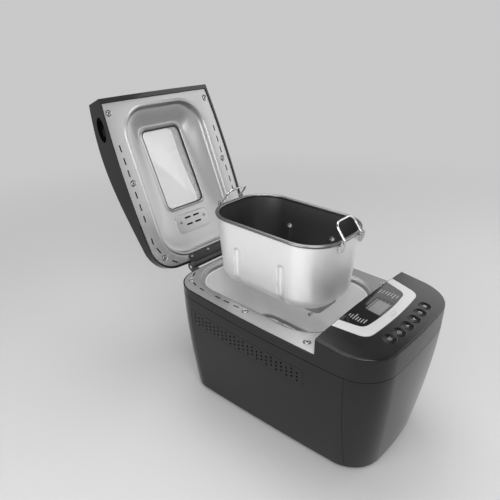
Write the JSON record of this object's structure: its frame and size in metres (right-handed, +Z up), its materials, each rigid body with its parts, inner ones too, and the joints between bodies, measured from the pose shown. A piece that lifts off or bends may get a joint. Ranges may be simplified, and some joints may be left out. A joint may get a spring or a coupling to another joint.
{
  "type": "bread machine",
  "caption": "Countertop bread machine with a hinged windowed lid, steel deck, baking chamber, lift-out kneading pan and a sloping control console.",
  "frame": {"origin": "on the table, under the middle of the casing", "axes": "+X to the right, -Y to the front where the controls are, +Z up"},
  "size_m": [0.256, 0.5961, 0.5015],
  "materials": {
    "gloss_black": "glossy moulded black plastic",
    "satin_black": "satin moulded black plastic",
    "deck_steel": "satin pressed stainless sheet",
    "oven_steel": "bright polished sheet",
    "pan_aluminium": "satin drawn aluminium, dark non-stick inside",
    "non_stick": "dark non-stick coating",
    "trim_silver": "satin silver",
    "lens_black": "glossy black",
    "lcd_grey": "grey display",
    "indicator_grey": "frosted grey",
    "button_black": "glossy black",
    "window_glass": "clear tempered glass",
    "seal_rubber": "black rubber",
    "bright_steel": "bright plated steel",
    "hinge_black": "black coated steel",
    "board_green": "glass-fibre board with components",
    "heater_grey": "heat-dulled steel tube",
    "bush_bronze": "sintered bronze",
    "pulley_nylon": "natural nylon",
    "motor_grey": "painted steel can",
    "chassis_zinc": "zinc-plated steel sheet"
  },
  "bodies": {
    "machine": {"casing_wrap": "gloss_black", "front_panel": "gloss_black", "vent_grille_left": "gloss_black", "vent_grille_right": "gloss_black", "base_tray": "satin_black", "rubber_feet": "seal_rubber", "base_screws": "bright_steel", "upper_housing": "satin_black", "console_trim": "trim_silver", "display_lens": "lens_black", "lcd_module": "lcd_grey", "indicator_lens": "indicator_grey", "deck_plate": "deck_steel", "deck_screws": "bright_steel", "oven_chamber": "oven_steel", "heater_element": "heater_grey", "heater_clips": "bright_steel", "temp_sensor": "bright_steel", "pan_socket": "chassis_zinc", "chassis_plate": "chassis_zinc", "drive_bearings": "bush_bronze", "motor_body": "motor_grey", "motor_belt": "seal_rubber", "link_belt": "seal_rubber", "control_board": "board_green", "power_board": "board_green", "mains_inlet": "seal_rubber", "hinge_base": "hinge_black", "hinge_pin": "bright_steel"},
    "lid": {"lid_cover": "gloss_black", "lid_liner": "deck_steel", "lid_screws": "bright_steel", "inner_glass": "window_glass", "outer_glass": "window_glass", "window_seal": "seal_rubber", "steam_plate": "deck_steel", "lid_rivets": "bright_steel", "hinge_leaf": "hinge_black"},
    "pan": {"bread_pan": "pan_aluminium", "pan_base": "non_stick", "pan_bushings": "bush_bronze", "bail_ears": "bright_steel"},
    "front_bail": {"bail_front": "bright_steel"},
    "rear_bail": {"bail_rear": "bright_steel"},
    "front_kneader": {"kneader_shaft_front": "bright_steel", "paddle_front": "non_stick"},
    "rear_kneader": {"kneader_shaft_rear": "bright_steel", "paddle_rear": "non_stick"},
    "front_drive": {"drive_front": "bright_steel", "pulley_front": "pulley_nylon"},
    "rear_drive": {"drive_rear": "bright_steel", "pulley_rear": "pulley_nylon"},
    "motor_rotor": {"motor_pulley": "pulley_nylon"},
    "key_1": {"button_1": "button_black"},
    "key_2": {"button_2": "button_black"},
    "key_3": {"button_3": "button_black"},
    "key_4": {"button_4": "button_black"},
    "key_5": {"button_5": "button_black"},
    "key_6": {"button_6": "button_black"}
  },
  "joints": [
    {"name": "lid_hinge", "type": "hinge", "parent": "machine", "child": "lid", "pos_m": [0, 0.221, 0.206], "axis": [1, 0, 0], "range_deg": [0, 112.7]},
    {"name": "pan_lift", "type": "slide", "parent": "machine", "child": "pan", "axis": [0, 0, 1], "range_m": [-0.1427, 0]},
    {"name": "front_bail_swing", "type": "hinge", "parent": "pan", "child": "front_bail", "pos_m": [0, -0.077, 0.3365], "axis": [-1, 0, 0], "range_deg": [-125, 0]},
    {"name": "rear_bail_swing", "type": "hinge", "parent": "pan", "child": "rear_bail", "pos_m": [0, 0.169, 0.3365], "axis": [1, 0, 0], "range_deg": [-125, 0]},
    {"name": "front_drive_spin", "type": "hinge", "parent": "machine", "child": "front_drive", "pos_m": [0, -0.014, 0.05], "axis": [0, 0, 1], "continuous": true},
    {"name": "rear_drive_spin", "type": "hinge", "parent": "machine", "child": "rear_drive", "pos_m": [0, 0.106, 0.05], "axis": [0, 0, 1], "continuous": true},
    {"name": "motor_spin", "type": "hinge", "parent": "machine", "child": "motor_rotor", "pos_m": [0, -0.139, 0.05], "axis": [0, 0, 1], "continuous": true},
    {"name": "front_kneader_spin", "type": "hinge", "parent": "pan", "child": "front_kneader", "pos_m": [0, -0.014, 0.23], "axis": [0, 0, 1], "continuous": true},
    {"name": "rear_kneader_spin", "type": "hinge", "parent": "pan", "child": "rear_kneader", "pos_m": [0, 0.106, 0.23], "axis": [0, 0, 1], "continuous": true},
    {"name": "press_button_1", "type": "slide", "parent": "machine", "child": "key_1", "axis": [0, -0.0941, 0.9956], "range_m": [-0.0012, 0], "stiffness_N_per_m": 400},
    {"name": "press_button_2", "type": "slide", "parent": "machine", "child": "key_2", "axis": [0, -0.0941, 0.9956], "range_m": [-0.0012, 0], "stiffness_N_per_m": 400},
    {"name": "press_button_3", "type": "slide", "parent": "machine", "child": "key_3", "axis": [0, -0.0941, 0.9956], "range_m": [-0.0012, 0], "stiffness_N_per_m": 400},
    {"name": "press_button_4", "type": "slide", "parent": "machine", "child": "key_4", "axis": [0, -0.0941, 0.9956], "range_m": [-0.0012, 0], "stiffness_N_per_m": 400},
    {"name": "press_button_5", "type": "slide", "parent": "machine", "child": "key_5", "axis": [0, -0.0941, 0.9956], "range_m": [-0.0012, 0], "stiffness_N_per_m": 400},
    {"name": "press_button_6", "type": "slide", "parent": "machine", "child": "key_6", "axis": [0, -0.0941, 0.9956], "range_m": [-0.0012, 0], "stiffness_N_per_m": 400}
  ],
  "couplings": [
    {"joint": "pan_lift", "follows": "lid_hinge", "m_per_rad": -0.0725},
    {"joint": "rear_drive_spin", "follows": "front_drive_spin", "ratio": 1},
    {"joint": "motor_spin", "follows": "front_drive_spin", "ratio": 3.2},
    {"joint": "front_kneader_spin", "follows": "front_drive_spin", "ratio": 1},
    {"joint": "rear_kneader_spin", "follows": "front_drive_spin", "ratio": 1}
  ]
}
